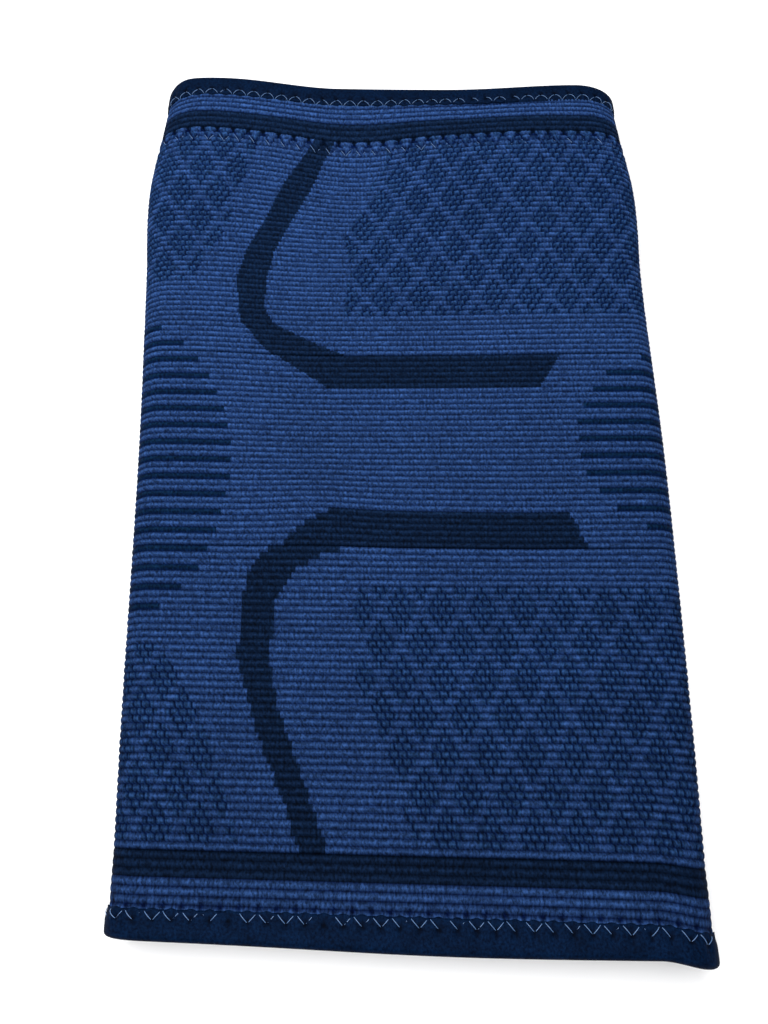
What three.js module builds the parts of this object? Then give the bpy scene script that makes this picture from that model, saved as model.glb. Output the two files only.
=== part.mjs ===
import * as THREE from "three";

// An elastic knitted knee sleeve, lying flat on a table with its thigh end away from the viewer.
// Millimetres, +Y towards the thigh end, +Z up. The origin is under the middle of the sleeve.

// Driving sizes of the sleeve, measured flat
const SLEEVE_LENGTH = 258;
const CALF_MOUTH_WIDTH = 136.5;
const CALF_WIDTH = 143.5;
const KNEE_WIDTH = 151;
const THIGH_WIDTH = 160.5;
const THIGH_MOUTH_WIDTH = 152;

// Heights of the upper layer over the table, at the middle of the width
const CALF_MOUTH_HEIGHT = 12.5;
const LYING_HEIGHT = 11;
const THIGH_MOUTH_HEIGHT = 15;

// How far the right fold of each rim lies nearer to the viewer than the left one
const CALF_SLANT = 6;
const THIGH_SLANT = 2.5;
// How far the right corner of the calf rim is pulled out past the rest of the rim
const CALF_CORNER = 2;

// The cloth and the tape sewn over its rims
const KNIT_THICKNESS = 1.6;
const TAPE_THICKNESS = 0.7;
const TAPE_DEPTH = 7;
const TAPE_CLEARANCE = 0.3;

// The rim lies raised on its tape, and the cloth comes down to the table over this length
const RIM_RAMP = 14;
// Where the dip between the two folds begins, as a share of the half width from the middle
const DIP_START = 0.3;
// Where the pulled corner begins, as a share of the half width
const CORNER_START = 0.8;

// Faces around a section and along the sleeve
const UNDER_STEPS = 6;
const FOLD_STEPS = 8;
const UPPER_STEPS = 18;
const BODY_STEPS = 22;
const RAMP_STEPS = 2;

// Sections from the calf rim to the thigh rim. "along" is a share of the length, "drift" of the
// width (how far the middle lies to the right), each fold of the middle height, "depth" of the
// fold's height, and each slant and corner of the rim's own value.
const SECTIONS = [
  {
    along: 0,
    width: CALF_MOUTH_WIDTH,
    drift: -0.005,
    middle: CALF_MOUTH_HEIGHT,
    leftFold: 1.04,
    rightFold: 1.08,
    depth: 0.66,
    slant: CALF_SLANT,
    corner: CALF_CORNER,
  },
  {
    along: 0.19,
    width: CALF_WIDTH,
    drift: -0.001,
    middle: LYING_HEIGHT,
    leftFold: 1.08,
    rightFold: 1.1,
    depth: 0.62,
    slant: 0.8 * CALF_SLANT,
    corner: 0,
  },
  {
    along: 0.47,
    width: KNEE_WIDTH,
    drift: 0.003,
    middle: LYING_HEIGHT,
    leftFold: 1.1,
    rightFold: 1.08,
    depth: 0.62,
    slant: 0.45 * CALF_SLANT,
    corner: 0,
  },
  {
    along: 0.71,
    width: 0.976 * THIGH_WIDTH,
    drift: -0.003,
    middle: LYING_HEIGHT,
    leftFold: 1.18,
    rightFold: 1.1,
    depth: 0.66,
    slant: 0.7 * THIGH_SLANT,
    corner: 0,
  },
  {
    along: 0.85,
    width: THIGH_WIDTH,
    drift: -0.003,
    middle: 0.5 * (LYING_HEIGHT + THIGH_MOUTH_HEIGHT),
    leftFold: 1.22,
    rightFold: 1.1,
    depth: 0.72,
    slant: 0.9 * THIGH_SLANT,
    corner: 0,
  },
  {
    along: 1,
    width: THIGH_MOUTH_WIDTH,
    drift: 0,
    middle: THIGH_MOUTH_HEIGHT,
    leftFold: 1.28,
    rightFold: 1.12,
    depth: 0.85,
    slant: THIGH_SLANT,
    corner: 0,
  },
];

const knitBlue = new THREE.MeshStandardMaterial({
  color: "#20396b",
  roughness: 0.9,
  metalness: 0,
});
const tapeNavy = new THREE.MeshStandardMaterial({
  color: "#0a1b33",
  roughness: 0.8,
  metalness: 0,
});

// Value of one column of the sections at a place along the sleeve, on a smooth curve through the rows.
function columnAt(along, column) {
  const last = SECTIONS.length - 1;
  let row = 0;
  while (row < last - 1 && along > SECTIONS[row + 1].along) row += 1;
  const slopeAt = (index) => {
    const before = SECTIONS[Math.max(index - 1, 0)];
    const after = SECTIONS[Math.min(index + 1, last)];
    return (after[column] - before[column]) / (after.along - before.along);
  };
  const start = SECTIONS[row];
  const end = SECTIONS[row + 1];
  const span = end.along - start.along;
  const s = (along - start.along) / span;
  const rise = s * s * (3 - 2 * s);
  const startPull = s * (1 - s) * (1 - s) * span * slopeAt(row);
  const endPull = s * s * (1 - s) * span * slopeAt(row + 1);
  return start[column] + rise * (end[column] - start[column]) + startPull - endPull;
}

// Height of the cloth's underside: on its tape at a rim, and on the table further in.
function undersideAt(along) {
  const fromRim = Math.min(along, 1 - along) * SLEEVE_LENGTH;
  const lowered = THREE.MathUtils.smoothstep(fromRim, TAPE_DEPTH, TAPE_DEPTH + RIM_RAMP);
  return (TAPE_THICKNESS + TAPE_CLEARANCE) * (1 - lowered);
}

// One closed section of the sleeve, moved outwards by "out" from the cloth's outer face.
function sectionRing(along, out) {
  const width = columnAt(along, "width");
  const drift = columnAt(along, "drift") * width;
  const clothHeight = columnAt(along, "middle");
  const middle = clothHeight + 2 * out;
  const slant = columnAt(along, "slant");
  const corner = columnAt(along, "corner");
  const floor = undersideAt(along) - out;
  const [left, right] = ["leftFold", "rightFold"].map((column) => {
    const height = clothHeight * columnAt(along, column);
    const depth = columnAt(along, "depth") * height;
    return {
      height: height + 2 * out,
      depth: depth + out,
      start: width / 2 - depth,
    };
  });
  const ring = [];
  const addPoint = (x, z) => {
    const across = (2 * x) / width;
    const pulled = corner * THREE.MathUtils.smoothstep(across, CORNER_START, 1);
    const y = (along - 0.5) * SLEEVE_LENGTH - (slant * across) / 2 - pulled;
    ring.push(new THREE.Vector3(drift + x, y, floor + z));
  };
  for (let i = 0; i < UNDER_STEPS; i += 1) {
    addPoint(THREE.MathUtils.lerp(-left.start, right.start, i / UNDER_STEPS), 0);
  }
  for (let i = 0; i < FOLD_STEPS; i += 1) {
    const angle = (Math.PI * i) / FOLD_STEPS;
    const x = right.start + right.depth * Math.sin(angle);
    addPoint(x, (right.height / 2) * (1 - Math.cos(angle)));
  }
  for (let i = 0; i < UPPER_STEPS; i += 1) {
    const across = 1 - (2 * i) / UPPER_STEPS;
    const fold = across > 0 ? right : left;
    const lift = THREE.MathUtils.smoothstep(Math.abs(across), DIP_START, 1);
    addPoint(fold.start * across, middle + (fold.height - middle) * lift);
  }
  for (let i = 0; i < FOLD_STEPS; i += 1) {
    const angle = (Math.PI * i) / FOLD_STEPS;
    const x = -left.start - left.depth * Math.sin(angle);
    addPoint(x, (left.height / 2) * (1 + Math.cos(angle)));
  }
  return ring;
}

// Joins closed rings, one after the other and the last to the first, into one closed surface.
function loftRings(rings) {
  const around = rings[0].length;
  const positions = rings.flat().flatMap((point) => point.toArray());
  const faces = [];
  for (let r = 0; r < rings.length; r += 1) {
    const here = r * around;
    const next = ((r + 1) % rings.length) * around;
    for (let k = 0; k < around; k += 1) {
      const beside = (k + 1) % around;
      faces.push(here + k, next + beside, here + beside);
      faces.push(here + k, next + k, next + beside);
    }
  }
  const geometry = new THREE.BufferGeometry();
  geometry.setAttribute("position", new THREE.Float32BufferAttribute(positions, 3));
  geometry.setIndex(faces);
  geometry.computeVertexNormals();
  return geometry;
}

// Places along the cloth where its sections stand, closer together near the two rims.
function knitStations() {
  const cover = TAPE_THICKNESS + TAPE_CLEARANCE;
  const nearRim = [cover, TAPE_DEPTH];
  for (let i = 1; i <= RAMP_STEPS; i += 1) {
    nearRim.push(TAPE_DEPTH + (RIM_RAMP * i) / RAMP_STEPS);
  }
  const calfEnd = nearRim.map((distance) => distance / SLEEVE_LENGTH);
  const bodyStart = calfEnd[calfEnd.length - 1];
  const body = [];
  for (let i = 1; i < BODY_STEPS; i += 1) {
    body.push(THREE.MathUtils.lerp(bodyStart, 1 - bodyStart, i / BODY_STEPS));
  }
  const thighEnd = calfEnd.map((along) => 1 - along).reverse();
  return [...calfEnd, ...body, ...thighEnd];
}

function makeKnitTube() {
  const stations = knitStations();
  const outer = stations.map((along) => sectionRing(along, 0));
  const inner = stations.map((along) => sectionRing(along, -KNIT_THICKNESS)).reverse();
  const mesh = new THREE.Mesh(loftRings([...outer, ...inner]), knitBlue);
  mesh.name = "knit_tube";
  return mesh;
}

// The tape is folded over a rim: one leg outside, one inside, and a rounded edge past the cloth.
function makeBinding(name, rimAlong) {
  const inwards = rimAlong > 0.5 ? -1 : 1;
  const outerFace = TAPE_CLEARANCE + TAPE_THICKNESS;
  const innerFace = -KNIT_THICKNESS - outerFace;
  const middleOut = (outerFace + innerFace) / 2;
  const edgeRadius = (outerFace - innerFace) / 2;
  const edgeSlope = Math.SQRT1_2;
  const profile = [
    { out: outerFace, fromRim: TAPE_DEPTH },
    { out: outerFace, fromRim: outerFace },
    { out: middleOut + edgeRadius * edgeSlope, fromRim: outerFace * (1 - edgeSlope) },
    { out: middleOut, fromRim: 0 },
    { out: middleOut - edgeRadius * edgeSlope, fromRim: outerFace * (1 - edgeSlope) },
    { out: innerFace, fromRim: outerFace },
    { out: innerFace, fromRim: TAPE_DEPTH },
    { out: innerFace + TAPE_THICKNESS, fromRim: TAPE_DEPTH },
    { out: innerFace + TAPE_THICKNESS, fromRim: TAPE_THICKNESS },
    { out: outerFace - TAPE_THICKNESS, fromRim: TAPE_THICKNESS },
    { out: outerFace - TAPE_THICKNESS, fromRim: TAPE_DEPTH },
  ];
  const rings = profile.map(({ out, fromRim }) =>
    sectionRing(rimAlong + (inwards * fromRim) / SLEEVE_LENGTH, out),
  );
  if (inwards > 0) rings.reverse();
  const mesh = new THREE.Mesh(loftRings(rings), tapeNavy);
  mesh.name = name;
  return mesh;
}

const sleeve = new THREE.Group();
sleeve.add(makeKnitTube());
sleeve.add(makeBinding("upper_binding", 1));
sleeve.add(makeBinding("lower_binding", 0));

// The origin goes under the middle of the sleeve's box.
const box = new THREE.Box3().setFromObject(sleeve);
const centre = box.getCenter(new THREE.Vector3());
sleeve.position.set(-centre.x, -centre.y, -box.min.z);

export default sleeve;
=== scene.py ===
"""Looks of the elastic knitted knee sleeve, lying flat with its thigh end away from the viewer.

Lengths named _MM are millimetres and places on the cloth are counted in stitches: courses run
from the thigh rim to the calf rim, wales from the left fold over the upper layer and back below.
"""

import math

import bpy
import numpy as np
from mathutils import Matrix, Vector


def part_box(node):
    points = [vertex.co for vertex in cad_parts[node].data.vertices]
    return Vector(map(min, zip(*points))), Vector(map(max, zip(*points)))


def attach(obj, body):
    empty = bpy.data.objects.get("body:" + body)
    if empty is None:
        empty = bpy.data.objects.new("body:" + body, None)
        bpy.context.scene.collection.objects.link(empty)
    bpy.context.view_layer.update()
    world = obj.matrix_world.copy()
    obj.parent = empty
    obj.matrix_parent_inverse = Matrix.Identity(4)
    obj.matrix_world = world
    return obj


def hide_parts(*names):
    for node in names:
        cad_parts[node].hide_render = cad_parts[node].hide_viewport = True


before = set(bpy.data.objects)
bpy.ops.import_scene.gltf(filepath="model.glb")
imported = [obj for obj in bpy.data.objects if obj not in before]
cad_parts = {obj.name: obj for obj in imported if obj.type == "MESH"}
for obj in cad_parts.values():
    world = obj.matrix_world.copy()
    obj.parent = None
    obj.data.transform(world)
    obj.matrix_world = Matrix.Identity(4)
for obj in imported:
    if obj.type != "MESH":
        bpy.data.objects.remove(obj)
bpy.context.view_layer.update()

# Knitted tube as it lies: one seamless piece of elastic knit, wider at the thigh, pressed nearly
# flat so that it has an upper and an under layer with a rounded fold at each side. Its rims stand
# a little off the table, and the upper layer dips between its folds.
SLEEVE_LENGTH_MM = 258.0
CLOTH_MM = 1.6
RIM_LIFT_MM = 1.0
TAPE_DEPTH_MM = 7.0
RIM_RAMP_MM = 14.0
# Where the dip and the pulled corner of the calf rim begin, as shares of the half width.
DIP_START = 0.3
CORNER_START = 0.8
# Sections from the calf rim (along 0) to the thigh rim (along 1). Drift is a share of the width,
# each fold of the middle height, depth of the fold's height; slant and corner are millimetres.
SECTIONS = np.array([
    # along, width, drift, middle, left, right, depth, slant, corner
    (0.00, 136.5, -0.005, 12.5, 1.04, 1.08, 0.66, 6.00, 2.0),
    (0.19, 143.5, -0.001, 11.0, 1.08, 1.10, 0.62, 4.80, 0.0),
    (0.47, 151.0, 0.003, 11.0, 1.10, 1.08, 0.62, 2.70, 0.0),
    (0.71, 156.6, -0.003, 11.0, 1.18, 1.10, 0.66, 1.75, 0.0),
    (0.85, 160.5, -0.003, 13.0, 1.22, 1.10, 0.72, 2.25, 0.0),
    (1.00, 152.0, 0.000, 15.0, 1.28, 1.12, 0.85, 2.50, 0.0),
])
# Points that draw a fold, the layer between the folds and the stretch on the table.
FOLD_POINTS = 40
LAYER_POINTS = 120
GROUND_POINTS = 60


def ease(value, low, high):
    """A smooth step from 0 at low to 1 at high."""
    share = np.clip((value - low) / (high - low), 0, 1)
    return share * share * (3 - 2 * share)


def hump(value, middle, reach):
    """A soft hump, 1 at its middle and nearly gone at twice its reach."""
    return np.exp(-((value - middle) / reach) ** 2)


def section_values(along):
    """Every column of the sections at one place along the sleeve, on a smooth curve."""
    places = SECTIONS[:, 0]
    last = len(places) - 1
    row = int(np.clip(np.searchsorted(places, along) - 1, 0, last - 1))
    before = np.maximum(np.arange(last + 1) - 1, 0)
    after = np.minimum(np.arange(last + 1) + 1, last)
    slopes = (SECTIONS[after] - SECTIONS[before]) / (places[after] - places[before])[:, None]
    span = places[row + 1] - places[row]
    share = (along - places[row]) / span
    rise = share * share * (3 - 2 * share)
    start_pull = share * (1 - share) ** 2 * span * slopes[row]
    end_pull = share ** 2 * (1 - share) * span * slopes[row + 1]
    return SECTIONS[row] + rise * (SECTIONS[row + 1] - SECTIONS[row]) + start_pull - end_pull


def evenly_along(points, count):
    """The same open line with its points an equal length apart."""
    steps = np.hypot(*np.diff(points, axis=0).T)
    travelled = np.r_[0, np.cumsum(steps)]
    wanted = np.linspace(0, travelled[-1], count)
    return np.stack([np.interp(wanted, travelled, points[:, k]) for k in (0, 1)], 1)


def section_line(along, upper_count, under_count):
    """One closed section: the upper layer from the left fold to the right, then the under layer."""
    _, width, drift, middle, left, right, depth, slant, corner = section_values(along)
    folds = {}
    for side, share in ((-1, left), (1, right)):
        height = middle * share
        folds[side] = (height, depth * height, width / 2 - depth * height)

    def fold_arc(side, start, end):
        height, reach, inner = folds[side]
        angle = np.linspace(start, end, FOLD_POINTS)
        across = side * (inner + reach * np.sin(angle))
        return np.stack([across, height / 2 * (1 - np.cos(angle))], 1)

    across = np.linspace(-1, 1, LAYER_POINTS)[1:-1]
    fold_height = np.where(across > 0, folds[1][0], folds[-1][0])
    inner = np.where(across > 0, folds[1][2], folds[-1][2])
    lift = ease(np.abs(across), DIP_START, 1)
    layer = np.stack([inner * across, middle + (fold_height - middle) * lift], 1)
    quarter = math.pi / 2
    upper = np.concatenate([fold_arc(-1, quarter, math.pi), layer, fold_arc(1, math.pi, quarter)])
    ground = np.linspace(folds[1][2], -folds[-1][2], GROUND_POINTS)[1:-1]
    flat = np.stack([ground, 0 * ground], 1)
    under = np.concatenate([fold_arc(1, quarter, 0), flat, fold_arc(-1, 0, quarter)])
    ring = np.concatenate([
        evenly_along(upper, upper_count + 1)[:-1],
        evenly_along(under, under_count + 1)[:-1],
    ])
    from_rim = min(along, 1 - along) * SLEEVE_LENGTH_MM
    lowered = ease(from_rim, TAPE_DEPTH_MM, TAPE_DEPTH_MM + RIM_RAMP_MM)
    floor = RIM_LIFT_MM * (1 - lowered)
    share = 2 * ring[:, 0] / width
    pulled = slant * share / 2 + corner * ease(share, CORNER_START, 1)
    y = (along - 0.5) * SLEEVE_LENGTH_MM - pulled
    return np.stack([ring[:, 0] + drift * width, y, floor + ring[:, 1]], 1)


# The stitches: 288 wales around, half of them on the upper layer. Two columns of points stand in
# each wale of the upper layer, one in each wale below.
UPPER_WALES = 144
WALES = 288
upper_columns = np.arange(2 * UPPER_WALES) / 2
under_columns = np.arange(UPPER_WALES, WALES, 1.0)
wale_columns = np.concatenate([upper_columns, under_columns])
STATIONS = 345
# The upper layer rises and sags softly, as limp cloth does.
SAGS = [
    # mm from the thigh rim, wale, rise_mm, spread_mm, spread in wales
    (32, 62, -1.1, 17, 17),
    (56, 26, 0.5, 30, 12),
    (72, 104, 0.6, 38, 22),
    (134, 58, -0.5, 34, 26),
    (190, 92, 0.5, 30, 28),
    (216, 34, -0.4, 22, 16),
]


def mounds(place, wale, table):
    """Sum of the soft mounds of a table at these places along and around the sleeve."""
    total = 0.0 * place * wale
    for at_place, at_wale, height, spread, wale_spread in table:
        total = total + height * hump(place, at_place, spread) * hump(wale, at_wale, wale_spread)
    return total


def outward(points):
    """Unit normals of a grid of points whose columns run right round the sleeve."""
    along = np.gradient(points, axis=0)
    around = np.roll(points, -1, 1) - np.roll(points, 1, 1)
    normal = np.cross(along, around)
    return normal / np.linalg.norm(normal, axis=2, keepdims=True)


# The grid of the cloth's outer face, set where the solid tube lies.
station_mm = np.linspace(0, SLEEVE_LENGTH_MM, STATIONS)
cloth = np.array([
    section_line(1 - mm / SLEEVE_LENGTH_MM, len(upper_columns), len(under_columns))
    for mm in station_mm
])
tube_low, tube_high = [1000 * np.array(corner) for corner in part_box("knit_tube")]
cloth_low = cloth.reshape(-1, 3).min(0)
cloth_high = cloth.reshape(-1, 3).max(0)
to_middle = (tube_low + tube_high - cloth_low - cloth_high) / 2
cloth += (to_middle[0], to_middle[1], tube_low[2] - cloth_low[2])
sagging = mounds(station_mm[:, None], wale_columns[None, :], SAGS)
cloth[..., 2] += sagging * (wale_columns < UPPER_WALES)
cloth_normals = outward(cloth)


def cloth_places(from_rim, out):
    """Points this far from the thigh rim and out of the cloth, for every column of the wales."""
    place = from_rim / SLEEVE_LENGTH_MM * (STATIONS - 1)
    low = np.clip(np.floor(place).astype(int), 0, STATIONS - 2)
    share = (place - low)[..., None]
    column = np.broadcast_to(np.arange(len(wale_columns)), low.shape)
    points = cloth[low, column] * (1 - share) + cloth[low + 1, column] * share
    normals = cloth_normals[low, column] * (1 - share) + cloth_normals[low + 1, column] * share
    points = points + normals * np.asarray(out)[..., None]
    points[..., 2] = np.maximum(points[..., 2], 0.0)
    return points


# Where each course lies on the middle of the upper layer, in millimetres from the thigh rim.
COURSES = 141
COURSE_PLACES = np.array([
    # course, millimetres from the thigh rim
    (0, 0.0), (3.3, 6.0), (7, 12.6), (10, 18.4), (14, 26.0), (20, 37.8), (27, 51.6), (34, 64.8),
    (41, 77.8), (48, 90.4), (55, 102.9), (61, 114.0), (83, 153.0), (89, 163.7), (110, 201.6),
    (131, 239.4), (134, 245.1), (137.5, 251.7), (141, 258.0),
])
# The worn cloth has lost its true courses in a few places: there they bow towards the calf. The
# outermost courses stay true, because the tapes hold them.
BOWS = [
    # course, wale, bow_mm, spread in courses, spread in wales
    (18, 62, 2.9, 13, 16),
    (20, 108, -1.8, 16, 22),
    (44, 14, -1.1, 26, 22),
    (83, 50, -1.2, 7, 14),
    (84, 104, 0.4, 10, 20),
    (110, 112, -0.7, 16, 25),
]
HELD_COURSES = 3

rng = np.random.default_rng(7)
stitch_noise = rng.normal(0, 1, (COURSES + 1, WALES))
course_noise = rng.normal(0, 1, COURSES + 1)


def course_row(course):
    """The row of the random numbers that belongs to each course."""
    return np.clip(np.floor(course).astype(int), 0, COURSES)


def stitch_random(course, wale):
    """The random number of the stitch at each place."""
    return stitch_noise[course_row(course), np.floor(wale).astype(int) % WALES]


def stitch_places(course, wale, out):
    """Points at these courses (rows) and the wale columns, out of the cloth, in millimetres."""
    from_rim = np.interp(course, COURSE_PLACES[:, 0], COURSE_PLACES[:, 1])
    loose = np.clip(np.minimum(course, COURSES - course) / HELD_COURSES, 0, 1)
    return cloth_places(from_rim + mounds(course, wale, BOWS) * loose, out)


def from_nearer_fold(wale):
    """Wales to the nearer of the two folds."""
    return np.abs((wale + UPPER_WALES / 2) % UPPER_WALES - UPPER_WALES / 2)


def from_left_fold(wale):
    """Wales counted from the left fold, negative on the under layer beside it."""
    return np.where(wale > WALES - UPPER_WALES / 2, wale - WALES, wale)


# What is knitted in, by course and wale. Two navy stripes go right round. Each navy band is a
# bent arm and a straight foot that ends on a slant.
STRIPES = [(7, 10), (131, 134)]
UPPER_ARM = [
    # course, outer wale, inner wale
    (10, 50, 56), (14, 47, 53), (20, 42, 50), (28, 37, 44), (34, 32, 39.5), (40, 29, 37),
    (46, 29.5, 36.5), (49, 30, 39), (51, 33, 45), (53, 35, 51), (55, 38, 58),
]
UPPER_FOOT = [(55, 39, 115.5), (61, 53, 109.3)]
LOWER_FOOT = [(83, 54, 113.3), (86, 45.5, 116), (89, 41, 118)]
LOWER_ARM = [
    # course, outer wale, inner wale
    (89, 39, 58), (91, 35.5, 49), (93, 33.5, 44), (97, 32, 40.3), (103, 32, 39.5), (105, 31, 39),
    (109, 33, 40), (113, 35, 41.7), (117, 37.3, 44.5), (121, 40.3, 47), (125, 43.3, 49.7),
    (131, 47, 53.5),
]
# A lens of dark lines, one course in three, lies round each fold.
LENSES = [
    # middle course, half height in courses, fold wale, half width in wales, first line
    (75.2, 26, 0, 27.8, 2),
    (71, 16, 144, 26.5, 1),
]
LINE_EVERY = 3
# Four patches of raised diamonds. They repeat every ten wales and ten courses, each row set off
# by half, and reach round the folds on to the under layer.
DIAMOND_REPEAT = 10
DIAMOND_REACH = 3
WRAP_WALES = 24
DIAMOND_PATCHES = [
    # fold side, course of a diamond, wale of a diamond, edge towards the middle (course, wale)
    ("left", 3, 4,
     [(10, 35), (14, 33), (20, 31), (24, 28), (28, 28), (33, 24), (36, 20), (41, 17)]),
    ("right", 8, 4,
     [(10, 71), (16, 70), (18, 67), (22, 65), (26, 61), (31, 58.5), (36, 60), (47, 58)]),
    ("left", 8, 4,
     [(104, 12), (108, 17), (113, 22), (118, 26), (123, 29), (128, 32), (130, 33)]),
    ("right", 3, 6,
     [(95, 61), (99, 59), (104, 63), (108, 59.5), (113, 64), (118, 67), (123, 69), (127, 72),
      (130, 74)]),
]
# In the two patches at the thigh the first part of each upright groove leans half a wale. Worn
# stitches close up about one groove in twenty: those whose random number is lower than this.
LEANING_PART = 0.4
LEAN_WALES = 0.5
CLOSED_GROOVES = -1.6
# Columns nearer to a whole wale than this are the ones that stand between two wales.
WHOLE_WALE = 0.25


def between(table, course, wale):
    """Whether stitches lie between the two edges of a band's table."""
    table = np.array(table, float)
    outer = np.interp(course, table[:, 0], table[:, 1])
    inner = np.interp(course, table[:, 0], table[:, 2])
    inside = (course >= table[0, 0]) & (course < table[-1, 0])
    return inside & (wale >= outer) & (wale < inner)


def in_lens(course, wale):
    """Whether stitches belong to a dark line of one of the two lenses."""
    found = np.zeros(np.broadcast(course, wale).shape, bool)
    for middle, half_height, fold, half_width, first in LENSES:
        reach = np.sqrt(np.clip(1 - ((course - middle) / half_height) ** 2, 0, 1))
        line = np.floor(course).astype(int) % LINE_EVERY == first
        found |= line & (np.abs(from_left_fold(wale) - fold) < half_width * reach)
    return found


def in_patch(patch, course, wale):
    """Whether stitches lie in a patch of diamonds."""
    side, _, _, edge = patch
    edge = np.array(edge, float)
    border = np.interp(course, edge[:, 0], edge[:, 1])
    inside = (course >= edge[0, 0]) & (course < edge[-1, 0])
    counted = from_left_fold(wale)
    if side == "left":
        return inside & (counted < border) & (counted > -WRAP_WALES)
    return inside & (counted > border) & (counted < UPPER_WALES + WRAP_WALES)


def diamond_offsets(patch, course, wale):
    """Courses and wales from the nearest diamond, for each of a patch's two sets of diamonds."""
    _, first_course, first_wale, _ = patch
    half = DIAMOND_REPEAT / 2
    for shift in (0, half):
        rows = (np.floor(course) - first_course - shift + half) % DIAMOND_REPEAT - half
        across = (from_left_fold(wale) - first_wale - shift + half) % DIAMOND_REPEAT - half
        yield rows, across


def diamond_grooves(course, wale):
    """Whether a short upright groove parts two nubs of a diamond, on whole wales only."""
    found = np.zeros(np.broadcast(course, wale).shape, bool)
    leaning = (course < UPPER_FOOT[0][0]) & (course - np.floor(course) < LEANING_PART)
    wale = wale - LEAN_WALES * leaning
    for patch in DIAMOND_PATCHES:
        for rows, across in diamond_offsets(patch, course, wale):
            reach = DIAMOND_REACH - np.abs(rows)
            step = (np.abs(across) <= reach) & ((across - reach) % 2 == 0)
            found |= step & (reach >= 0) & in_patch(patch, course, wale)
    return found & (stitch_random(course, wale) > CLOSED_GROOVES)


def diamond_faces(course, wale):
    """Whether stitches belong to a diamond, whose nubs show the dark yarn behind."""
    found = np.zeros(np.broadcast(course, wale).shape, bool)
    for patch in DIAMOND_PATCHES:
        for rows, across in diamond_offsets(patch, course, wale):
            near = np.abs(rows) + np.abs(across) <= DIAMOND_REACH + 1
            found |= near & (np.abs(rows) <= DIAMOND_REACH) & in_patch(patch, course, wale)
    return found


# The seam below the upper stripe pulls its edge into scallops, one to each stitch of the thread.
# Those of the two bindings are a little closer together, and the lower one pinches the welt.
SCALLOP_WALES = WALES / 66
UPPER_SEAM_WALES = WALES / 70
LOWER_SEAM_WALES = WALES / 68
SCALLOP_START = STRIPES[0][1]
SCALLOP_BAND_COURSES = 3
# How far navy cloth is drawn down between two scallops, and how sharply.
SCALLOP_COURSES = 1.3
SCALLOP_POINTEDNESS = 0.45
# How each scallop puffs up, and what is left of the ribs in it.
SCALLOP_MM = 0.35
SCALLOP_ROUNDNESS = 0.6
SWELL_COURSES = 2.4
RIBS_LEFT_IN_SCALLOP = 0.7
SCALLOP_SUNK_MM = 0.15
# The zigzag that the thread presses into the scallops, from its top down by its swing.
THREAD_TOP_COURSE = 0.2
THREAD_SWING_COURSES = 2.7
THREAD_REACH_COURSES = 0.42
THREAD_PRESS_MM = 0.3
# Painted shadow of the thread along its pressed line, and painted shade in the gaps between the
# scallops.
PRESS_PAINTED_SHADE = 0.75
GAP_PAINTED_SHADE = 0.4
# The pinches at the needle holes of the lower binding.
PINCH_COURSE = 137.2
PINCH_COURSES = 0.7
PINCH_WIDTH = 0.1
PINCH_MM = 0.35
# Painted shade in each pinch.
PINCH_PAINTED_SHADE = 0.8


def stripe_dip(wale):
    """How far the navy of the upper stripe is drawn down between the scallops, in courses."""
    arch = np.abs(np.sin(np.pi * wale / SCALLOP_WALES))
    return SCALLOP_COURSES * (1 - arch ** SCALLOP_POINTEDNESS)


def gathered(course, wale, height, depth):
    """The relief and the darkness with the scallops and pinches that the seams draw into it, and
    painted shade in their hollows.
    """
    below_stripe = course - SCALLOP_START
    in_scallop = (below_stripe >= 0) & (below_stripe < SCALLOP_BAND_COURSES)
    phase = (wale / SCALLOP_WALES) % 1.0
    arch = np.abs(np.sin(np.pi * phase))
    swell = np.sin(np.pi * np.clip((below_stripe - stripe_dip(wale)) / SWELL_COURSES, 0, 1))
    thread_line = THREAD_TOP_COURSE + THREAD_SWING_COURSES * (1 - np.abs(2 * phase - 1))
    pressed = hump(below_stripe, thread_line, THREAD_REACH_COURSES)
    puff = SCALLOP_MM * arch ** SCALLOP_ROUNDNESS * swell - SCALLOP_SUNK_MM
    puff_height = RIBS_LEFT_IN_SCALLOP * height + puff - THREAD_PRESS_MM * pressed
    # Painted shadow along the pressed thread and painted shade between the scallops.
    painted_gap_shade = PRESS_PAINTED_SHADE * pressed + GAP_PAINTED_SHADE * (1 - arch) ** 2
    height = np.where(in_scallop, puff_height, height)
    depth = np.where(in_scallop, RIBS_LEFT_IN_SCALLOP * depth + painted_gap_shade, depth)
    pinch_phase = (wale / LOWER_SEAM_WALES) % 1.0
    pinch = hump(pinch_phase, np.round(pinch_phase), PINCH_WIDTH)
    pinch = pinch * hump(course, PINCH_COURSE, PINCH_COURSES)
    # Painted shade in the pinches at the needle holes.
    return height - PINCH_MM * pinch, depth + PINCH_PAINTED_SHADE * pinch


# Relief of the knit: rounded ribs, shallower in the welts, with a small dent at the edge of each
# wale and a dot where it crosses a groove. Stitches and courses are a little uneven.
ROWS_PER_COURSE = 4
RIB_MM = 0.52
WELT_RIB_MM = 0.38
CROWN_MM = 0.1
CROWN_ROUNDNESS = 0.75
IN_GROOVE = 0.1
WALE_DENT_MM = 0.14
GROOVE_DOT_MM = 0.14
UNEVEN_MM = 0.04
WELT_STITCH_SHARE = 0.75
# Diamonds: upright grooves between their nubs, and dents at the ends of each groove.
DIAMOND_GROOVE_MM = 0.45
GROOVE_END_MM = 0.12
NUB_MM = 0.06
# The dark yarn shows in the grooves, along the wales and in each nub, less in the dots; in the
# grooves and along the wales the darkness is partly painted shade.
GROOVE_DARKNESS = 0.98
GROOVE_WIDTH = 0.6
WALE_DARKNESS = 0.2
DOT_PALENESS = 0.35
STITCH_DARKNESS = 0.05
NUB_DARKNESS = 1.06
# Cloth that is stretched round a fold has less relief, from the first wale to the twelfth.
FOLD_RELIEF = 0.45
FOLD_REACH_WALES = (1, 12)


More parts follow.
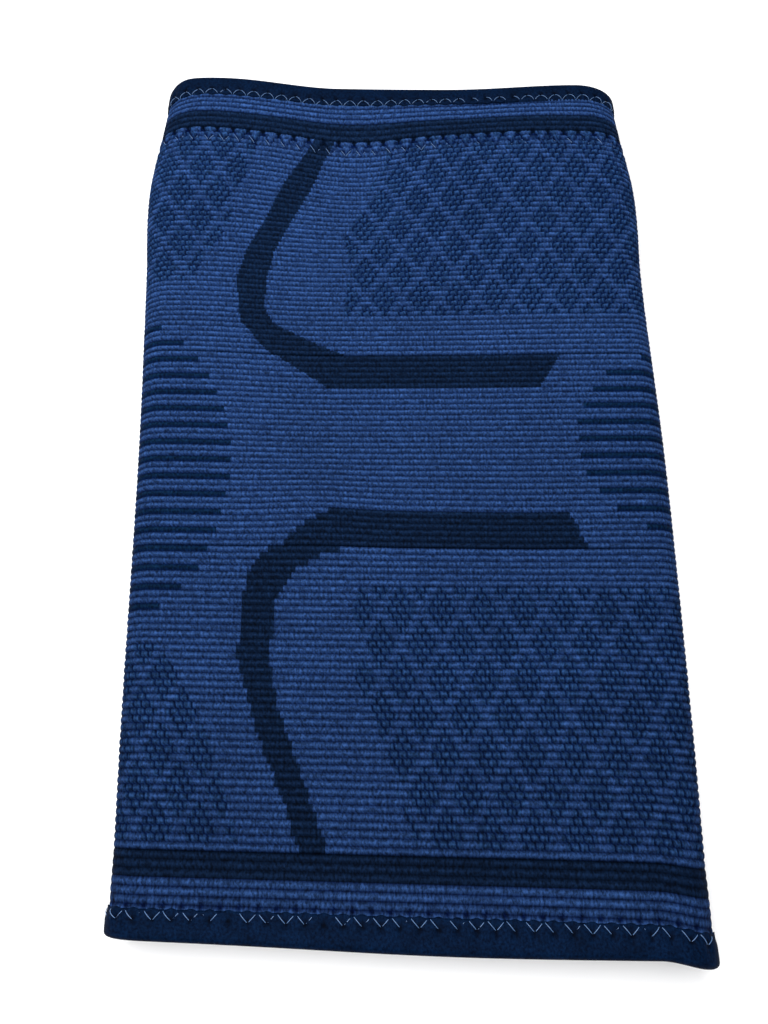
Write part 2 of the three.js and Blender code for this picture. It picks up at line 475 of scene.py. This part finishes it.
def knit_relief(course, wale):
    """Height over the cloth's outer face, and a darkness from 0 to 1: dark yarn and painted shade in
    the grooves.
    """
    crown = np.sin(np.pi * (course - np.floor(course))) ** CROWN_ROUNDNESS
    in_welt = (course < STRIPES[0][1]) | (course > STRIPES[1][0])
    rib = np.where(in_welt, WELT_RIB_MM, RIB_MM)
    stitch_share = np.where(in_welt, WELT_STITCH_SHARE, 1.0)
    uneven = stitch_random(course, wale) * crown
    whole = (np.abs(wale - np.round(wale)) < WHOLE_WALE) & (wale < UPPER_WALES)
    dot = whole & (crown < IN_GROOVE)
    height = CROWN_MM - rib * (1 - crown)
    height = height - stitch_share * (WALE_DENT_MM * whole + GROOVE_DOT_MM * dot)
    height = height + stitch_share * UNEVEN_MM * uneven
    height = height + UNEVEN_MM * course_noise[course_row(course)] * crown
    # Darkness of the grooves and of the dents along the wales: partly the dark yarn, partly painted
    # shade.
    depth = GROOVE_DARKNESS * (1 - crown) ** GROOVE_WIDTH
    depth = depth + stitch_share * (WALE_DARKNESS * whole - DOT_PALENESS * dot)
    depth = depth - STITCH_DARKNESS * uneven

    upright = diamond_grooves(course, wale) & (crown > IN_GROOVE)
    groove_end = diamond_grooves(course - 0.5, wale) | diamond_grooves(course + 0.5, wale)
    groove_end &= crown < IN_GROOVE
    nub = diamond_faces(course, wale) & ~upright
    height = height - DIAMOND_GROOVE_MM * upright - GROOVE_END_MM * groove_end
    height = height + NUB_MM * nub * crown
    # The diamonds' upright grooves get full darkness, partly painted shade; the nubs are darker for
    # the yarn behind.
    depth = np.where(nub, depth * NUB_DARKNESS, np.maximum(depth, upright))

    height, depth = gathered(course, wale, height, depth)
    stretched = ease(from_nearer_fold(wale), *FOLD_REACH_WALES)
    height = height * (FOLD_RELIEF + (1 - FOLD_RELIEF) * stretched)
    return height, np.clip(depth, 0, 1)


def add_values(mesh, label, values, domain, kind="FLOAT", field="value"):
    """Stores a number, or a vector, for each point or face of a mesh."""
    layer = mesh.attributes.new(label, kind, domain)
    layer.data.foreach_set(field, values.ravel().astype(np.float32))


def add_mesh(name, points, faces, flat_faces):
    """A mesh object in metres from points in millimetres, smooth but for its flat faces."""
    mesh = bpy.data.meshes.new(name)
    mesh.from_pydata((points / 1000).tolist(), [], faces)
    mesh.polygons.foreach_set("use_smooth", ~flat_faces.ravel())
    mesh.update()
    piece = bpy.data.objects.new(name, mesh)
    bpy.context.scene.collection.objects.link(piece)
    return piece


def ring_faces(rings, around):
    """Faces between closed rings, and from the last ring back to the first."""
    ring = np.arange(rings)[:, None]
    here = ring * around + np.arange(around)[None, :]
    beside = ring * around + (np.arange(around)[None, :] + 1) % around
    following = (here + around) % (rings * around)
    following_beside = (beside + around) % (rings * around)
    return np.stack([here, following, following_beside, beside], -1).reshape(-1, 4)


# Tone of the yarn around 0.5: a little different in each stitch and each course, and darker at
# the calf end than at the thigh end, which is painted shade.
STITCH_TONE = 0.05
COURSE_TONE = 0.03
PAINTED_CALF_SHADE = 0.36
# The inside of the tube is plain, in a middle shade, with a ring of points every four courses.
INSIDE_DEPTH = 0.4
INSIDE_COURSES = 4


def knitted_in(course, wale):
    """Which stitches are navy, of a dark line or of a diamond, for faces at these places."""
    navy = (course >= SCALLOP_START) & (course < SCALLOP_START + stripe_dip(wale))
    for first, last in STRIPES:
        navy |= (course >= first) & (course < last)
    stitch_course = np.floor(course) + 0.5
    stitch_wale = np.floor(wale) + 0.5
    for band in (UPPER_ARM, UPPER_FOOT):
        navy |= between(band, course, wale)
    # The calf's bands are seen closer to, and their edges step from stitch to stitch.
    for band in (LOWER_FOOT, LOWER_ARM):
        navy |= between(band, stitch_course, stitch_wale)
    line = in_lens(stitch_course, stitch_wale) & ~navy
    diamond = diamond_faces(course, wale) & ~navy
    return {"navy": navy, "line": line, "diamond": diamond}


def tone_with_calf_shade(course, wale):
    """Tone of the yarn at these places, with painted shade that darkens it towards the calf."""
    tone = 0.5 + STITCH_TONE * stitch_random(course, wale)
    tone = tone + COURSE_TONE * course_noise[course_row(course)]
    # Painted shade: darker towards the calf end.
    return tone - PAINTED_CALF_SHADE * course / COURSES


def knit_panel(name, first_course, last_course):
    """One closed ring of the tube between two grooves, with all that is knitted into it."""
    rows = round((last_course - first_course) * ROWS_PER_COURSE)
    inner_rows = max(2, int((last_course - first_course) / INSIDE_COURSES))
    course = np.linspace(first_course, last_course, rows + 1)[:, None]
    inner_course = np.linspace(last_course, first_course, inner_rows)[:, None]
    wale = wale_columns[None, :]
    height, depth = knit_relief(course, wale)
    outer = stitch_places(course, wale, height)
    inner = stitch_places(inner_course, wale, -CLOTH_MM + 0 * inner_course * wale)
    points = np.concatenate([outer.reshape(-1, 3), inner.reshape(-1, 3)])
    around = len(wale_columns)
    rings = len(outer) + len(inner)
    walls = np.zeros((rings, around), bool)
    walls[[rows, -1]] = True
    piece = add_mesh(name, points, ring_faces(rings, around).tolist(), walls)

    inner_depth = np.full((len(inner), around), INSIDE_DEPTH)
    # The groove values darken the colour: the dark yarn there and painted shade of the grooves and
    # seams.
    add_values(piece.data, "groove", np.concatenate([depth, inner_depth]), "POINT")
    every_course = np.concatenate([course, inner_course])
    stitches = np.stack(np.broadcast_arrays(wale, every_course, 0 * every_course), -1)
    add_values(piece.data, "stitches", stitches, "POINT", "FLOAT_VECTOR", "vector")

    face_wale = (wale_columns + np.diff(np.r_[wale_columns, WALES]) / 2)[None, :]
    face_course = (course[:-1] + course[1:]) / 2
    for label, stitches_of_it in knitted_in(face_course, face_wale).items():
        of_faces = np.zeros((rings, around))
        of_faces[:rows] = stitches_of_it
        add_values(piece.data, label, of_faces, "FACE")
    # The tone carries the painted shade towards the calf as well as the stitches' own tone.
    tone = np.full((rings, around), 0.5)
    tone[:rows] = tone_with_calf_shade(face_course, face_wale)
    add_values(piece.data, "tone", tone, "FACE")
    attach(piece, "root")
    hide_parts("knit_tube")
    return piece


def linear(hex_colour):
    """A linear colour with alpha from an sRGB hex value."""
    parts = [int(hex_colour[k:k + 2], 16) / 255 for k in (1, 3, 5)]
    curved = [part / 12.92 if part <= 0.04045 else ((part + 0.055) / 1.055) ** 2.4 for part in parts]
    return (*curved, 1.0)


def add_node(tree, kind, inputs, **settings):
    """Adds a node with its settings; each input is a value or the socket it is joined to."""
    node = tree.nodes.new(kind)
    for label, value in settings.items():
        setattr(node, label, value)
    for label, value in inputs.items():
        if isinstance(value, bpy.types.NodeSocket):
            tree.links.new(value, node.inputs[label])
        else:
            node.inputs[label].default_value = value
    return node


def stored(tree, label, output="Fac"):
    """The values that a mesh stores under a label."""
    return add_node(tree, "ShaderNodeAttribute", {}, attribute_name=label).outputs[output]


def noise(tree, place, scale, detail, roughness=0.5):
    """A noise from 0 to 1 over these places."""
    inputs = {"Vector": place, "Scale": scale, "Detail": detail, "Roughness": roughness}
    return add_node(tree, "ShaderNodeTexNoise", inputs).outputs["Fac"]


def remap(tree, value, low, high, to_low=0.0, to_high=1.0):
    """A value with its range from low to high spread over another range."""
    inputs = {"Value": value, "From Min": low, "From Max": high, "To Min": to_low, "To Max": to_high}
    return add_node(tree, "ShaderNodeMapRange", inputs).outputs[0]


def blend(tree, share, first, second):
    """A colour that goes from the first to the second with the share."""
    inputs = {"Factor": share, 6: first, 7: second}
    return add_node(tree, "ShaderNodeMix", inputs, data_type="RGBA").outputs[2]


def combine(tree, operation, first, second):
    """The sum or the product of two values."""
    return add_node(tree, "ShaderNodeMath", {0: first, 1: second}, operation=operation).outputs[0]


def scale_colour(tree, colour, factor):
    """A colour made lighter or darker by a factor."""
    inputs = {0: colour, "Scale": factor}
    return add_node(tree, "ShaderNodeVectorMath", inputs, operation="SCALE").outputs[0]


def bump(tree, height, strength, rise_mm):
    """Normals of a fine relief."""
    inputs = {"Height": height, "Strength": strength, "Distance": rise_mm / 1000}
    return add_node(tree, "ShaderNodeBump", inputs).outputs["Normal"]


def new_material(name):
    """An empty material and its node tree."""
    material = bpy.data.materials.new(name)
    material.use_nodes = True
    material.node_tree.nodes.clear()
    return material, material.node_tree


def add_surface(tree, inputs):
    """The surface of a material with these inputs, joined to its output."""
    surface = add_node(tree, "ShaderNodeBsdfPrincipled", inputs)
    add_node(tree, "ShaderNodeOutputMaterial", {"Surface": surface.outputs["BSDF"]})


# Knitted nylon over covered elastic: the blue yarn is slightly hairy and matt, with a soft sheen
# on the crowns of its ribs and near black down in the grooves, where the elastic is laid in and
# painted shade darkens them further.
BLUE_CROWN = linear("#294575")
BLUE_GROOVE = linear("#000A2C")
NAVY_CROWN = linear("#0E203B")
NAVY_GROOVE = linear("#000616")
LINE_CROWN = linear("#082038")
DIAMOND_CROWN = linear("#23406A")
NYLON_SHEEN = linear("#7E9CD8")
FIBRES_PER_WALE = 1.7
WEAR_PER_WALE = 0.05
FIBRE_MM = 0.12

ribbed_nylon, tree = new_material("ribbed_nylon_knit")
stitches = stored(tree, "stitches", "Vector")
fibres = noise(tree, stitches, FIBRES_PER_WALE, 3.0, 0.7)
wear = noise(tree, stitches, WEAR_PER_WALE, 2.0)
blue_yarn = blend(tree, stored(tree, "diamond"), BLUE_CROWN, DIAMOND_CROWN)
lined_yarn = blend(tree, stored(tree, "line"), blue_yarn, LINE_CROWN)
navy = stored(tree, "navy")
crown_colour = blend(tree, navy, lined_yarn, NAVY_CROWN)
groove_colour = blend(tree, navy, BLUE_GROOVE, NAVY_GROOVE)
# Blended by the groove values: the dark yarn of the grooves together with painted shade of the
# grooves, dents and seams.
shaded_yarn_colour = blend(tree, stored(tree, "groove"), crown_colour, groove_colour)
# Single fibres catch the light or lie in shade, painted into the colour; stitches differ a little,
# painted shade darkens the calf end and wear is cloudy.
fibre_shade = remap(tree, fibres, 0.38, 0.62, 0.43, 1.61)
stitch_and_calf_shade = combine(tree, "ADD", stored(tree, "tone"), 0.5)
wear_shade = remap(tree, wear, 0.3, 0.7, 0.93, 1.07)
grain_and_shade = combine(tree, "MULTIPLY", fibre_shade, stitch_and_calf_shade)
grain_and_shade = combine(tree, "MULTIPLY", grain_and_shade, wear_shade)
add_surface(tree, {
    "Base Color": scale_colour(tree, shaded_yarn_colour, grain_and_shade),
    "Roughness": 0.78,
    "IOR": 1.53,
    "Specular IOR Level": 0.02,
    "Sheen Weight": 0.01,
    "Sheen Roughness": 0.4,
    "Sheen Tint": NYLON_SHEEN,
    "Normal": bump(tree, fibres, 0.7, FIBRE_MM),
})

PANELS = [
    # name, first course, last course
    ("upper_welt", 0.55, 10),
    ("thigh_panel", 10, 55),
    ("knee_panel", 55, 89),
    ("calf_panel", 89, 131),
    ("lower_welt", 131, 140.45),
]
for panel_name, first_course, last_course in PANELS:
    panel = knit_panel(panel_name, first_course, last_course)
    panel.data.materials.append(ribbed_nylon)

# Bindings: a dark elastic tape folded over each rim, one leg outside and one inside, and caught
# down by a zigzag seam. Its stitched edge is drawn against the cloth at each needle point.
TAPE_EDGE_MM = 6.4
TAPE_MM = 0.7
TAPE_TURN_MM = 1.2
TAPE_CLEAR_MM = 0.05
RIM_COVER_MM = 1.0
TAPE_PUFF_MM = 0.95
TAPE_EDGE_LIFT_MM = 0.4
PUFF_UP_SHARE = 0.55
RIM_FACE_MM = 0.7
# Rows of points across the outer leg, round the edge and across the inner leg.
OUTER_ROWS = 15
TURN_ROWS = 9
INNER_ROWS = 4
# The seam's needle line, the dent and the painted shade of the holes along it, and the scallops of
# the tape's edge.
NEEDLE_LINE_MM = 4.3
NEEDLE_WIDTH = 0.15
SEAM_DENT_MM = 0.5
SEAM_DENT_REACH_MM = 1.2
HOLE_LINE_MM = 4.5
HOLE_REACH_MM = 0.75
EDGE_SCALLOP_MM = 0.3
EDGE_REACH_MM = 0.8
# Where a rim bulges past its true line or its tape is sewn on deeper: wale, mm, spread in wales.
UPPER_RIM_BULGES = [(8, 1.7, 6), (40, 0.7, 30)]
LOWER_RIM_BULGES = [(84, 1.3, 50)]
UPPER_TAPE_DEEPER = [(68, 0.7, 15), (126, -1.5, 14)]


def tape_profile():
    """The folded tape's outline as distance from the rim and out of the cloth, and its walls."""
    outer = TAPE_PUFF_MM
    inner = -CLOTH_MM - RIM_COVER_MM
    middle = (outer + inner) / 2
    radius = (outer - inner) / 2
    profile = []
    for share in np.linspace(0, 1, OUTER_ROWS):
        lift = TAPE_EDGE_LIFT_MM + (outer - TAPE_EDGE_LIFT_MM) * ease(share, 0.0, PUFF_UP_SHARE)
        profile.append((TAPE_EDGE_MM - share * (TAPE_EDGE_MM - TAPE_TURN_MM), lift))
    for angle in np.linspace(math.pi / 2, -math.pi / 2, TURN_ROWS)[1:-1]:
        profile.append((TAPE_TURN_MM * (1 - math.cos(angle)), middle + radius * math.sin(angle)))
    for from_rim in np.linspace(TAPE_TURN_MM, TAPE_DEPTH_MM, INNER_ROWS):
        profile.append((from_rim, inner))
    inner_edge = len(profile) - 1
    profile.append((TAPE_DEPTH_MM, inner + TAPE_MM))
    profile.append((RIM_FACE_MM, inner + TAPE_MM))
    profile.append((RIM_FACE_MM, -TAPE_CLEAR_MM))
    profile.append((TAPE_EDGE_MM, -TAPE_CLEAR_MM))
    return profile, [inner_edge, len(profile) - 1]


def waved(table):
    """Sum of the soft humps of a table of wale, height and spread, for each wale column."""
    return sum(height * hump(wale_columns, wale, spread) for wale, height, spread in table)


def binding(name, at_thigh, seam_wales, bulges, deeper):
    """A folded tape as one closed ring, dented along its seam, with painted shade at its needle
    holes.
    """
    profile, walls = tape_profile()
    phase = (wale_columns / seam_wales) % 1.0
    needle = hump(phase, 0.5, NEEDLE_WIDTH)
    rings = []
    threads = []
    holes = []
    for from_rim, out in profile:
        on_face = float(out > 0)
        dent = on_face * hump(from_rim, NEEDLE_LINE_MM, SEAM_DENT_REACH_MM) * needle
        edge = on_face * hump(from_rim, TAPE_EDGE_MM, EDGE_REACH_MM)
        place = from_rim + waved(deeper) * from_rim / TAPE_DEPTH_MM * on_face
        place = place - waved(bulges) * (1 - from_rim / TAPE_DEPTH_MM)
        place = place - EDGE_SCALLOP_MM * edge * np.cos(2 * np.pi * phase)
        from_thigh = place if at_thigh else SLEEVE_LENGTH_MM - place
        rings.append(cloth_places(from_thigh, out - SEAM_DENT_MM * dent))
        threads.append(np.stack([wale_columns, 0 * phase + from_rim, 0 * phase], 1))
        # Painted shade at the needle holes, in the seam's dent.
        holes.append(on_face * hump(from_rim, HOLE_LINE_MM, HOLE_REACH_MM) * needle)
    faces = ring_faces(len(rings), len(wale_columns))
    if at_thigh:
        faces = faces[:, ::-1]
    flat = np.zeros((len(rings), len(wale_columns)), bool)
    flat[walls] = True
    piece = add_mesh(name + "_tape", np.concatenate(rings), faces.tolist(), flat)
    add_values(piece.data, "threads", np.concatenate(threads), "POINT", "FLOAT_VECTOR", "vector")
    add_values(piece.data, "hole", np.concatenate(holes), "POINT")
    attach(piece, "root")
    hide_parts(name)
    return piece


# Woven elastic tape of navy polyester: finer and smoother than the knit, with faint pale threads,
# a cloudy tone along its length and painted shade in the pits where the needle went through.
TAPE_NAVY = linear("#01091C")
TAPE_PIT_SHADE = linear("#00020A")
TAPE_LIGHT = linear("#051B38")
WEAVE_MM = 0.1
WEAVE_PER_WALE = 1.5
CLOUDS_PER_WALE = 0.18

folded_tape, tree = new_material("woven_polyester_tape")
threads = stored(tree, "threads", "Vector")
weave = noise(tree, threads, WEAVE_PER_WALE, 4.0, 0.7)
cloudy = noise(tree, threads, CLOUDS_PER_WALE, 2.0)
woven = blend(tree, remap(tree, weave, 0.38, 0.7), TAPE_NAVY, TAPE_LIGHT)
# Painted shade at the needle holes.
pit_shaded = blend(tree, stored(tree, "hole"), woven, TAPE_PIT_SHADE)
shade = remap(tree, cloudy, 0.3, 0.7, 0.75, 1.2)
add_surface(tree, {
    "Base Color": scale_colour(tree, pit_shaded, shade),
    "Roughness": 0.7,
    "IOR": 1.57,
    "Specular IOR Level": 0.02,
    "Normal": bump(tree, weave, 0.5, WEAVE_MM),
})

BINDINGS = [
    # name, at the thigh, wales a stitch, rim bulges, where the tape is deeper
    ("upper_binding", True, UPPER_SEAM_WALES, UPPER_RIM_BULGES, UPPER_TAPE_DEEPER),
    ("lower_binding", False, LOWER_SEAM_WALES, LOWER_RIM_BULGES, []),
]
for row in BINDINGS:
    tape = binding(*row)
    tape.data.materials.append(folded_tape)

# Seam threads: three zigzag lines of pale bluish nylon thread, one over the edge of each binding
# and one below the upper stripe. Each bight rises out of one needle hole and dives into the next.
THREAD_MM = 0.18
THREAD_POINTS = 7
THREAD_SIDES = 6
BIGHT_FULLNESS = 0.55
UNEVEN_BIGHT_MM = 0.14
# The thread is drawn into the cloth at the folds, and on a seam's tight stretch.
FOLD_DRAW_MM = 0.4
FOLD_DRAW_WALES = (1, 6)
TIGHT_DRAW_MM = 0.35
TIGHTENING_WALES = 20
NOWHERE = 999


def surface_point(course, wale, out):
    """One point over the upper or the under layer of the cloth, in millimetres."""
    columns = len(wale_columns)
    column = np.interp(wale % WALES, np.r_[wale_columns, WALES], np.arange(columns + 1))
    line = stitch_places(np.array([[course]]), wale_columns[None, :], np.full((1, columns), out))[0]
    low = int(column) % columns
    share = column - int(column)
    return line[low] * (1 - share) + line[(low + 1) % columns] * share


def thread_bight(start, end, proud):
    """A short round thread from one needle hole to the next, as rings of points."""
    centres = []
    for share in np.linspace(0, 1, THREAD_POINTS):
        course, wale, chord = [low + share * (high - low) for low, high in zip(start, end)]
        out = chord + (proud - chord) * math.sin(math.pi * share) ** BIGHT_FULLNESS
        centres.append(surface_point(course, wale, out))
    centres = np.array(centres)
    centres[:, 2] = np.maximum(centres[:, 2], THREAD_MM / 2)
    angles = np.linspace(0, 2 * math.pi, THREAD_SIDES, endpoint=False)
    rings = []
    for centre, tangent in zip(centres, np.gradient(centres, axis=0)):
        tangent = tangent / np.linalg.norm(tangent)
        side = np.cross(tangent, (0, 0, 1))
        side = side / np.linalg.norm(side)
        up = np.cross(side, tangent)
        around = [math.cos(angle) * side + math.sin(angle) * up for angle in angles]
        rings.append(centre + THREAD_MM / 2 * np.array(around))
    return np.array(rings)


def bight_faces(base):
    """The faces of a bight whose first point has this number: its sides and its two ends."""
    faces = []
    for ring in range(THREAD_POINTS - 1):
        low = base + ring * THREAD_SIDES
        high = low + THREAD_SIDES
        for side in range(THREAD_SIDES):
            beside = (side + 1) % THREAD_SIDES
            faces.append([low + side, high + side, high + beside, low + beside])
    last = base + (THREAD_POINTS - 1) * THREAD_SIDES
    for side in range(1, THREAD_SIDES - 1):
        faces.append([base, base + side, base + side + 1])
        faces.append([last, last + side + 1, last + side])
    return faces


def seam_thread(name, replaced, seam_wales, near, far, arms_proud, tight_wale):
    """One zigzag line right round the sleeve, as one object of separate closed bights."""
    points = []
    faces = []
    for stitch in range(round(WALES / seam_wales)):
        before = (near[0], stitch * seam_wales, near[1])
        middle = (far[0], (stitch + 0.5) * seam_wales, far[1])
        after = (near[0], (stitch + 1.0) * seam_wales, near[1])
        at_fold = 1 - ease(from_nearer_fold(middle[1]), *FOLD_DRAW_WALES)
        tight = ease(middle[1], tight_wale, tight_wale + TIGHTENING_WALES)
        drawn_in = FOLD_DRAW_MM * at_fold + TIGHT_DRAW_MM * tight
        for proud, start, end in zip(arms_proud, (before, middle), (middle, after)):
            uneven = UNEVEN_BIGHT_MM * rng.normal()
            faces.extend(bight_faces(len(points)))
            points.extend(thread_bight(start, end, proud + uneven - drawn_in).reshape(-1, 3))
    piece = add_mesh(name, np.array(points), faces, np.zeros(len(faces), bool))
    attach(piece, "root")
    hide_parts(replaced)
    return piece


# Filament nylon sewing thread: round, smooth and pale, so it glints in short dashes.
nylon_thread, tree = new_material("filament_nylon_thread")
add_surface(tree, {
    "Base Color": linear("#4C6B96"),
    "Roughness": 0.35,
    "IOR": 1.53,
    "Specular IOR Level": 0.5,
})

SEAMS = [
    # name, piece, wales a stitch, near end and far end (course, mm out), how proud the two arms
    # of the zigzag stand, wale from which the thread is drawn tight
    ("upper_edge_thread", "upper_binding", UPPER_SEAM_WALES,
     (3.55, -0.4), (2.4, 0.15), (0.62, 0.86), NOWHERE),
    ("stripe_thread", "knit_tube", SCALLOP_WALES,
     (11.2, -0.7), (12.8, -0.7), (-0.16, -0.6), 85),
    ("lower_edge_thread", "lower_binding", LOWER_SEAM_WALES,
     (137.5, -0.5), (138.75, 0.15), (0.7, 0.5), NOWHERE),
]
for seam in SEAMS:
    thread_piece = seam_thread(*seam)
    thread_piece.data.materials.append(nylon_thread)

# Table: a plain pale matt top that the sleeve lies on, wide enough to fill the background.
TABLE_M = 12.0
corners = [(x * TABLE_M / 2, y * TABLE_M / 2, 0.0) for x, y in ((-1, -1), (1, -1), (1, 1), (-1, 1))]
table_mesh = bpy.data.meshes.new("table_top")
table_mesh.from_pydata(corners, [], [(0, 1, 2, 3)])
table = bpy.data.objects.new("table_top", table_mesh)
bpy.context.scene.collection.objects.link(table)
white_table, tree = new_material("matt_white_table")
add_surface(tree, {"Base Color": linear("#FBFBFC"), "Roughness": 0.9})
table.data.materials.append(white_table)

# Light: a soft studio box close overhead, a larger and weaker one from high on the right, and
# pale surroundings that fill the shadows.


def soft_box(name, place, target, size, power):
    """A square area light that faces its target."""
    lamp = bpy.data.lights.new(name, "AREA")
    lamp.shape = "SQUARE"
    lamp.size = size
    lamp.energy = power
    holder = bpy.data.objects.new(name, lamp)
    bpy.context.scene.collection.objects.link(holder)
    holder.location = place
    holder.rotation_euler = (Vector(target) - Vector(place)).to_track_quat("-Z", "Y").to_euler()


soft_box("overhead_box", (-0.08, 0.01, 0.36), (-0.02, 0.0, 0), 0.45, 2.9)
soft_box("right_box", (0.9, 0.1, 1.1), (0, 0, 0), 1.0, 2.2)
SURROUNDINGS = 0.3
world = bpy.data.worlds.new("pale_studio")
world.use_nodes = True
background = world.node_tree.nodes["Background"]
background.inputs["Color"].default_value = (1.0, 1.0, 1.0, 1.0)
background.inputs["Strength"].default_value = SURROUNDINGS
bpy.context.scene.world = world
bpy.context.scene.view_settings.view_transform = "Standard"

# Camera: held over the calf end and tipped forward, as in the photograph.
CAMERA_MM = (-5.506, -101.346, 206.0)
LOOK_DOWN_DEGREES = 68.0
TURNED_DEGREES = 0.84
FOCAL_PIXELS = 770.0
IMAGE_HEIGHT = 1024
SENSOR_MM = 36.0

down = math.radians(LOOK_DOWN_DEGREES)
turned = math.radians(TURNED_DEGREES)
ahead = Vector((math.sin(turned), math.cos(turned), 0.0))
forward = ahead * math.cos(down) - Vector((0.0, 0.0, math.sin(down)))
rightward = Vector((math.cos(turned), -math.sin(turned), 0.0))
upward = rightward.cross(forward)
turn = Matrix((rightward, upward, -forward)).transposed()
camera_data = bpy.data.cameras.new("camera")
camera_data.sensor_width = SENSOR_MM
camera_data.lens = FOCAL_PIXELS / IMAGE_HEIGHT * SENSOR_MM
camera_data.clip_start = 0.01
camera = bpy.data.objects.new("camera", camera_data)
camera.matrix_world = Matrix.Translation(Vector(CAMERA_MM) / 1000) @ turn.to_4x4()
bpy.context.scene.collection.objects.link(camera)
bpy.context.scene.camera = camera
